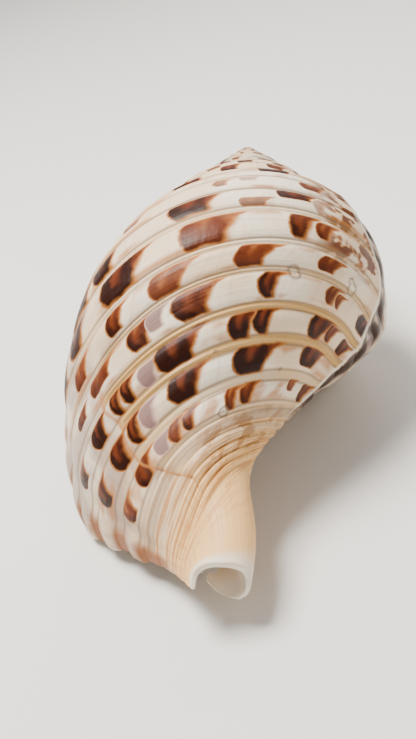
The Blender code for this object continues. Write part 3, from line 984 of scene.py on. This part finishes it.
def paint_patch(nodes, number, under, wobble_a, wobble_b):
    """One layer of patches: dark and round in front, lighter and streaked behind, with an orange rim."""
    plus, minus, times, step = nodes.plus, nodes.minus, nodes.times, nodes.step
    kept = nodes.attribute(f"patch_{number}")
    onward, across, length = nodes.split(kept["Color"])
    shade = kept["Alpha"]
    onward = plus(onward, wobble_a)
    across = plus(across, wobble_b)
    square = nodes.math("MINIMUM", times(across, across), 1.0)
    bow = minus(1.0, nodes.math("SQRT", minus(1.0, square)))
    front = minus(onward, times(bow, PATCH_BOW))
    shorter_below = times(step(-0.9, 0.6, across), 0.22)
    tail = times(step(-0.45, -0.95, across), PATCH_TAIL)
    back = minus(times(length, minus(1.0, shorter_below)), onward)
    back = plus(back, tail)
    side = minus(1.0, nodes.math("ABSOLUTE", across))
    mask = times(step(-0.05, 0.08, front), step(-0.2, 0.22, back), step(-0.04, 0.10, side))
    core = times(step(0.0, 0.24, front), step(0.0, 0.50, back), step(0.0, 0.22, side))
    ends = nodes.math("DIVIDE", front, length)
    paler_behind = times(step(0.10, 0.95, ends), 0.55)
    pale_crescent = times(nodes.hump(ends, 0.36, 0.17), step(0.9, -0.5, across), 0.34)
    dark_crescent = times(nodes.hump(ends, 0.62, 0.20), 0.22)
    depth = minus(minus(1.08, paler_behind), pale_crescent)
    depth = plus(depth, dark_crescent)
    depth = plus(times(depth, shade), times(across, 0.16))
    depth = minus(depth, times(wobble_a, 0.9))
    body = nodes.mix(step(0.10, 0.52, depth), LIGHT_BROWN, BROWN)
    body = nodes.mix(step(0.50, 0.95, depth), body, DARK_BROWN)
    body = nodes.mix(core, ORANGE, body)
    body = nodes.mix(step(0.10, 0.0, shade), body, nodes.mix(core, PINK, MAUVE))
    opacity = nodes.math("MINIMUM", times(nodes.math("ABSOLUTE", shade), 2.2), 1.0)
    return nodes.mix(times(mask, opacity), under, body)


def patterned_shell():
    """Cream shell with brown patches on its cords, ochre grooves and a peach base."""
    nodes = Nodes("patterned_shell")
    place = nodes.object_place()
    turn, along = nodes.growth_place()
    scar, crest, groove = nodes.split(nodes.attribute("lines")["Color"])
    yellow = nodes.attribute("lines")["Alpha"]
    ring = nodes.split(nodes.attribute("rings")["Color"])[0]
    cloud = nodes.noise(place, scale=28.0, detail=3.0)
    haze = nodes.noise(place, scale=60.0, detail=3.0)
    grain = nodes.noise(place, scale=420.0, detail=2.0)
    growth = nodes.growth_noise(turn, along, per_turn=150.0, per_place=0.6, detail=3.0)
    threads = nodes.growth_noise(turn, along, per_turn=5.0, per_place=14.0, detail=3.0)
    smudges = nodes.growth_noise(turn, along, per_turn=24.0, per_place=3.4, detail=2.0)
    mottling = nodes.growth_noise(turn, along, per_turn=44.0, per_place=2.3, detail=2.0)
    wisps = nodes.growth_noise(turn, along, per_turn=17.0, per_place=1.5, detail=2.0)
    wobble_a = nodes.times(nodes.minus(nodes.noise(place, scale=210.0, detail=3.0), 0.5), 0.55)
    wobble_b = nodes.times(nodes.minus(nodes.noise(place, scale=160.0, detail=2.0), 0.5), 0.35)

    step, between, hump = nodes.step, nodes.between, nodes.hump
    mottle = nodes.mix(step(0.48, 0.56, mottling), ORANGE, BROWN)
    older = nodes.math("MAXIMUM", step(*BEHIND_SCAR, scar), step(*ABOVE_SCAR, along))
    colour = nodes.lay(nodes.mix(step(0.40, 0.62, cloud), CREAM, WHITE), [
        # Growth lines, fine threads, and mauve near the lip: partly stains, partly painted shade on that
        # side of the shell
        (PINK, 0.30, step(0.52, 0.72, growth)),
        (GREY, 0.20, step(0.55, 0.75, threads)),
        (MAUVE, 0.60, step(*STAIN_AND_SHADE_TURN, turn), between(along, *STAIN_AND_SHADE_PLACES), step(0.38, 0.58, haze)),
        # Base and neck, with streaks along the riblets, lines across the neck and a white rim
        (PEACH, 0.95, step(*PEACH_PLACE, along)),
        (ORANGE, 0.75, step(0.45, 0.60, threads), between(along, *FAN_PLACES)),
        (ORANGE, 0.35, step(0.50, 0.66, growth), between(along, *NECK_PLACES)),
        (LIGHT_BROWN, 0.75, step(0.47, 0.60, smudges), between(turn, *SMUDGE_TURNS),
         between(along, *SMUDGE_PLACES)),
        (WHITE, 0.9, step(*RIM_PLACE, along)),
        # Spire, greyer and pinker towards the apex
        (GREY, 0.45, step(*OLD_TURN, turn), step(0.38, 0.60, cloud)),
        (PINK, 0.6, step(*SPIRE_TURN, turn)),
        # Mottled band, the ochre bands and wisps along the grooves, and grey lines of painted shade where
        # the groove floors meet the cords
        (mottle, 0.95, step(0.45, 0.53, mottling), between(turn, *MOTTLE_TURNS),
         between(along, *MOTTLE_PLACES)),
        (OCHRE, 1.0, step(0.15, 0.05, groove), yellow, nodes.plus(nodes.times(older, 0.75), 0.15)),
        (ORANGE, 0.75, step(0.50, 0.62, wisps), hump(groove, 0.15, 0.13), step(*WISP_PLACE, along)),
        (GREY, 0.70, hump(groove, 0.080, 0.035), step(*GROOVE_SHADE_PLACE, along))])

    for number in range(PATCH_LAYERS):
        colour = paint_patch(nodes, number, colour, wobble_a, wobble_b)

    crest_reach = nodes.times(between(along, *CREST_PLACES), step(*CREST_TURN, turn))
    hollow = nodes.times(between(crest, *CREST_GAPS), crest_reach)
    near_grooves = step(0.46, 0.26, nodes.plus(groove, nodes.times(wobble_a, 0.9)))
    colour = nodes.lay(colour, [
        # Scar line, partly its own brownish line and partly painted shadow at its step, and blotches at the
        # lip
        (ORANGE, 0.75, hump(scar, -0.001, 0.005), between(along, *SCAR_PLACES)),
        (LIGHT_BROWN, 0.85, step(0.20, 0.08, groove), step(*BLOTCH_TURN, turn),
         between(along, *BLOTCH_PLACES)),
        # The old lip's white crest, its brown line, and the hollow behind it in mauve and dark grey: partly
        # its dark blotches, partly painted shade in the hollow
        (WHITE, 0.9, hump(crest, 0.0, 0.006), crest_reach),
        (BROWN, 0.85, hump(crest, 0.0055, 0.0028), crest_reach),
        (MAUVE, 0.55, hollow),
        (DARK_GREY, 0.95, hollow, near_grooves, step(0.070, 0.040, crest)),
        # Ring scars, grey round a paler middle
        (GREY, 0.65, hump(ring, 0.95, 0.34)),
        (WHITE, 0.35, hump(ring, 0.45, 0.40))])
    relief = nodes.plus(nodes.times(growth, 0.5), nodes.times(threads, 0.5))
    relief = nodes.plus(relief, nodes.hump(ring, 0.95, 0.45))
    nodes.bump(nodes.plus(relief, nodes.times(grain, 0.3)), distance=0.00035)
    return nodes.finish({"Base Color": colour, "Roughness": nodes.plus(nodes.times(grain, 0.26), 0.27),
                         "Specular IOR Level": 0.15, "Coat Weight": 0.02, "Coat Roughness": 0.20})


def smooth_throat():
    """Porcelain-like inside: cream, tan deeper in, with brown between the teeth of the lip."""
    nodes = Nodes("smooth_throat")
    place = nodes.object_place()
    turn, ring = nodes.growth_place()
    groove = nodes.split(nodes.attribute("lines")["Color"])[2]
    cloud = nodes.noise(place, scale=40.0, detail=3.0)
    near_grooves = nodes.step(0.30, 0.14, nodes.plus(groove, nodes.times(cloud, 0.10)))
    folds = nodes.hump(nodes.math("FRACT", nodes.times(ring, 0.95)), 0.5, 0.28)
    colour = nodes.lay(nodes.mix(nodes.step(0.35, 0.65, cloud), THROAT_TAN, THROAT_CREAM), [
        (OCHRE, 0.7, nodes.between(turn, *DEEP_TURNS)),
        (BROWN, 0.8, near_grooves, nodes.step(*TOOTH_MARK_TURN, turn), nodes.step(*LIP_RING, ring)),
        (LIGHT_BROWN, 0.45, nodes.step(*COLUMELLA_RING, ring), nodes.step(*COLUMELLA_TURN, turn), folds)])
    nodes.bump(nodes.noise(place, scale=300.0, detail=2.0), distance=0.0001)
    return nodes.finish({"Base Color": colour, "Roughness": 0.22, "Coat Weight": 0.4,
                         "Coat Roughness": 0.10})


def light_studio():
    """A pale floor, soft light from above and the left, and a pale surround."""
    mesh = bmesh.new()
    bmesh.ops.create_grid(mesh, x_segments=1, y_segments=1, size=FLOOR_HALF)
    data = bpy.data.meshes.new("floor")
    mesh.to_mesh(data)
    mesh.free()
    pale = Nodes("pale_floor").finish({"Base Color": FLOOR_COLOUR, "Roughness": FLOOR_ROUGHNESS})
    data.materials.append(pale)
    add_object("floor", data)
    world = bpy.data.worlds.new("studio")
    bpy.context.scene.world = world
    world.use_nodes = True
    surround = world.node_tree.nodes["Background"]
    surround.inputs["Color"].default_value = SURROUND_COLOUR
    surround.inputs["Strength"].default_value = SURROUND_STRENGTH
    for name, place, size, power in LAMPS:
        lamp = bpy.data.lights.new(name, "AREA")
        lamp.color = LAMP_COLOUR
        lamp.size = size
        lamp.energy = power
        light = add_object(name, lamp)
        light.location = place
        light.rotation_euler = (Vector(LAMP_TARGET) - Vector(place)).to_track_quat("-Z", "Y").to_euler()


def place_camera(place):
    """The photograph's view of the shell, kept relative to the shell's own axis."""
    fitted = (Matrix.Rotation(math.radians(CAMERA_HEADING), 3, "Z") @ LYING
              @ Matrix.Rotation(math.radians(CAMERA_ROLL), 3, "Z"))
    to_rest = lying_turn().to_3x3() @ fitted.transposed()
    elevation = math.radians(CAMERA_ELEVATION)
    right = to_rest @ Vector((1, 0, 0))
    up = to_rest @ Vector((0, math.sin(elevation), math.cos(elevation)))
    back = to_rest @ Vector((0, -math.cos(elevation), math.sin(elevation)))
    target = place @ Vector((0, 0, -CAMERA_TARGET * SHELL_LENGTH))
    lens = bpy.data.cameras.new("camera")
    camera = add_object("camera", lens)
    turn = Matrix((right, up, back)).transposed().to_4x4()
    camera.matrix_world = Matrix.Translation(target + back * CAMERA_DISTANCE * SHELL_LENGTH) @ turn
    longest = max(PHOTO_SIZE)
    lens.sensor_width = SENSOR
    lens.lens = FOCAL_PIXELS / longest * SENSOR
    lens.shift_x = -(IMAGE_CENTRE[0] - PHOTO_SIZE[0] / 2) / longest
    lens.shift_y = (IMAGE_CENTRE[1] - PHOTO_SIZE[1] / 2) / longest
    lens.clip_start = NEAREST_SEEN
    bpy.context.scene.camera = camera


def make_shell():
    whole = whole_shell()
    whole.materials.append(patterned_shell())
    shell = add_object("fine_shell", whole)
    carved = carve(shell, [whorl_hollow(), canal_bore(), canal_slit()], smooth_throat())
    place = place_on_frame(carved)
    wear_flat(carved)
    mark_surface(carved)
    mark_rings(carved, place)
    carved.shade_smooth()
    carved.set_sharp_from_angle(angle=SHARP_ANGLE)
    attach(shell, "root")
    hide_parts("triton_shell")
    return shell, place


shell, place = make_shell()
light_studio()
place_camera(place)
